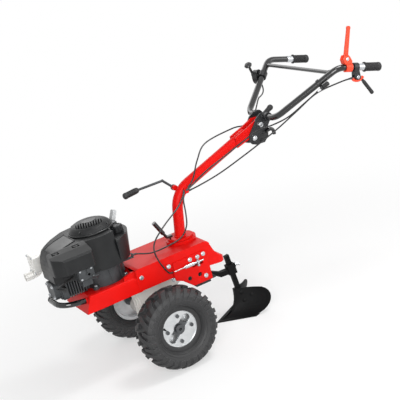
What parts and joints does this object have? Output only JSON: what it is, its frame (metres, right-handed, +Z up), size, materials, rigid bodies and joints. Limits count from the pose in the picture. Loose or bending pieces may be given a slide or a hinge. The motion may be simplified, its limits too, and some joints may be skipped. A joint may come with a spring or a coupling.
{
  "type": "walk-behind ridger",
  "caption": "Two-wheel walk-behind tractor with lugged tyres, front engine, belt hood, turning column and handlebar, pulling a black V-winged ridger on a hitch.",
  "frame": {"origin": "on the ground, under the middle of the outfit's length and width, 356 mm behind the wheel axle", "axes": "+X rearward to the operator, +Y to the machine's right, +Z up"},
  "size_m": [1.544, 0.583, 1.065],
  "materials": {
    "red_paint": "gloss enamel on sheet and cast steel",
    "black_paint": "semi-gloss black enamel",
    "black_plastic": "moulded grained plastic",
    "engine_alloy": "dark sprayed die-cast alloy",
    "cast_case": "grey sprayed casting",
    "zinc_steel": "zinc plated steel",
    "rim_steel": "galvanised pressed steel",
    "shaft_steel": "turned steel",
    "bright_steel": "bright plated steel",
    "muffler_steel": "aluminised pressed steel",
    "tyre_rubber": "lugged tyre rubber",
    "soft_rubber": "matt rubber",
    "soil_black": "black enamel on forged and pressed steel"
  },
  "bodies": {
    "chassis": {"main_frame": "red_paint", "belt_hood": "red_paint", "left_side_plate": "red_paint", "right_side_plate": "red_paint", "gearbox_case": "cast_case", "front_bumper": "black_paint", "swivel_base": "red_paint", "hitch_bracket": "zinc_steel", "frame_screws": "zinc_steel", "engine_crankcase": "engine_alloy", "cylinder_block": "engine_alloy", "spark_plug": "soft_rubber", "blower_housing": "black_plastic", "starter_cover": "black_plastic", "fuel_tank": "black_plastic", "carburettor": "engine_alloy", "air_filter_cover": "black_plastic", "muffler": "muffler_steel", "drive_belt": "soft_rubber", "lower_cables": "soft_rubber", "hitch_pin": "zinc_steel"},
    "wheels": {"axle_shaft": "shaft_steel", "axle_gear": "shaft_steel", "left_rim": "rim_steel", "right_rim": "rim_steel", "left_tyre": "tyre_rubber", "right_tyre": "tyre_rubber", "wheel_bolts": "zinc_steel"},
    "crank": {"drive_pulley": "shaft_steel"},
    "input": {"driven_pulley": "shaft_steel"},
    "idler": {"idler_arm": "zinc_steel"},
    "idler_wheel": {"idler_pulley": "shaft_steel"},
    "clutch_pull": {"clutch_rod": "zinc_steel"},
    "cap": {"fuel_cap": "black_plastic"},
    "starter_pull": {"starter_grip": "black_plastic", "starter_rope": "soft_rubber"},
    "column": {"column_tube": "red_paint", "pivot_bolt": "bright_steel", "upper_cables": "soft_rubber"},
    "tilt_lock": {"tilt_lock_lever": "black_paint"},
    "swivel_lock": {"swivel_lock_lever": "zinc_steel"},
    "shifter": {"gear_lever": "black_paint"},
    "handlebar": {"tilt_bracket": "black_paint", "left_handle_tube": "black_paint", "right_handle_tube": "black_paint", "cross_bar": "black_paint", "left_grip": "soft_rubber", "right_grip": "soft_rubber", "lever_bracket": "red_paint", "clutch_bracket": "black_plastic", "throttle_box": "black_plastic"},
    "clutch_hand": {"clutch_lever": "black_plastic"},
    "reverse_hand": {"reverse_lever": "red_paint"},
    "throttle_hand": {"throttle_lever": "black_plastic"},
    "hitch_arm": {"drawbar": "soil_black"},
    "ridger": {"shank": "soil_black", "left_wing": "soil_black", "right_wing": "soil_black", "share_point": "soil_black"},
    "clamp": {"clamp_bolt": "bright_steel"}
  },
  "joints": [
    {"name": "axle_spin", "type": "hinge", "parent": "chassis", "child": "wheels", "pos_m": [-0.35596, 0, 0.165], "axis": [0, 1, 0], "continuous": true},
    {"name": "input_spin", "type": "hinge", "parent": "chassis", "child": "input", "pos_m": [-0.26396, 0, 0.335], "axis": [0, 0, 1], "continuous": true},
    {"name": "crank_spin", "type": "hinge", "parent": "chassis", "child": "crank", "pos_m": [-0.50596, 0, 0.335], "axis": [0, 0, 1], "continuous": true},
    {"name": "idler_swing", "type": "hinge", "parent": "chassis", "child": "idler", "pos_m": [-0.15896, -0.07, 0.326], "axis": [0, 0, -1], "range_deg": [0, 7]},
    {"name": "idler_spin", "type": "hinge", "parent": "idler", "child": "idler_wheel", "pos_m": [-0.30396, -0.092, 0.341], "axis": [0, 0, 1], "continuous": true},
    {"name": "clutch_rod_slide", "type": "slide", "parent": "chassis", "child": "clutch_pull", "axis": [-1, 0, 0], "range_m": [0, 0.006]},
    {"name": "clutch_squeeze", "type": "hinge", "parent": "handlebar", "child": "clutch_hand", "pos_m": [0.65004, -0.272, 0.858], "axis": [0, -1, 0], "range_deg": [0, 22], "stiffness_Nm_per_rad": 0.8, "springref_deg": -17.19},
    {"name": "cap_turn", "type": "hinge", "parent": "chassis", "child": "cap", "pos_m": [-0.41896, -0.048, 0.556], "axis": [0, 0, 1], "range_deg": [0, 90]},
    {"name": "starter_pull_up", "type": "slide", "parent": "chassis", "child": "starter_pull", "axis": [0, 0, 1], "range_m": [0, 0.4], "deforming": ["starter_rope"]},
    {"name": "column_swivel", "type": "hinge", "parent": "chassis", "child": "column", "pos_m": [-0.15096, 0, 0.416], "axis": [0, 0, 1], "range_deg": [-15, 15], "deforming": ["lower_cables"]},
    {"name": "swivel_lock_drop", "type": "slide", "parent": "column", "child": "swivel_lock", "axis": [0, 0, -1], "range_m": [0, 0.009]},
    {"name": "handlebar_tilt", "type": "hinge", "parent": "column", "child": "handlebar", "pos_m": [0.30504, 0, 0.748], "axis": [0, 1, 0], "range_deg": [-12, 12], "deforming": ["upper_cables"]},
    {"name": "tilt_lock_turn", "type": "hinge", "parent": "column", "child": "tilt_lock", "pos_m": [0.30504, 0, 0.748], "axis": [0, 1, 0], "range_deg": [-30, 15]},
    {"name": "gear_shift", "type": "hinge", "parent": "column", "child": "shifter", "pos_m": [-0.10796, 0.0344, 0.612], "axis": [0, 1, 0], "range_deg": [-8, 8]},
    {"name": "reverse_pull", "type": "hinge", "parent": "handlebar", "child": "reverse_hand", "pos_m": [0.61704, -0.272, 0.943], "axis": [0, 1, 0], "range_deg": [-15, 25]},
    {"name": "throttle_set", "type": "hinge", "parent": "handlebar", "child": "throttle_hand", "pos_m": [0.47822, 0.2508, 0.88627], "axis": [-0.5667, 0.8239, 0], "range_deg": [-30, 30]},
    {"name": "hitch_swing", "type": "hinge", "parent": "chassis", "child": "hitch_arm", "pos_m": [-0.10596, 0, 0.229], "axis": [0, 0, 1], "range_deg": [-10, 10]},
    {"name": "shank_depth", "type": "slide", "parent": "hitch_arm", "child": "ridger", "axis": [-0.1028, 0, 0.9947], "range_m": [-0.012, 0.03]},
    {"name": "clamp_turn", "type": "hinge", "parent": "hitch_arm", "child": "clamp", "pos_m": [0.0533, 0, 0.21044], "axis": [0.9947, 0, 0.1028], "continuous": true}
  ],
  "couplings": [
    {"joint": "crank_spin", "follows": "input_spin", "ratio": 1.7059},
    {"joint": "clutch_rod_slide", "follows": "clutch_squeeze", "m_per_rad": 0.014584},
    {"joint": "idler_swing", "follows": "clutch_squeeze", "ratio": 0.24348}
  ]
}
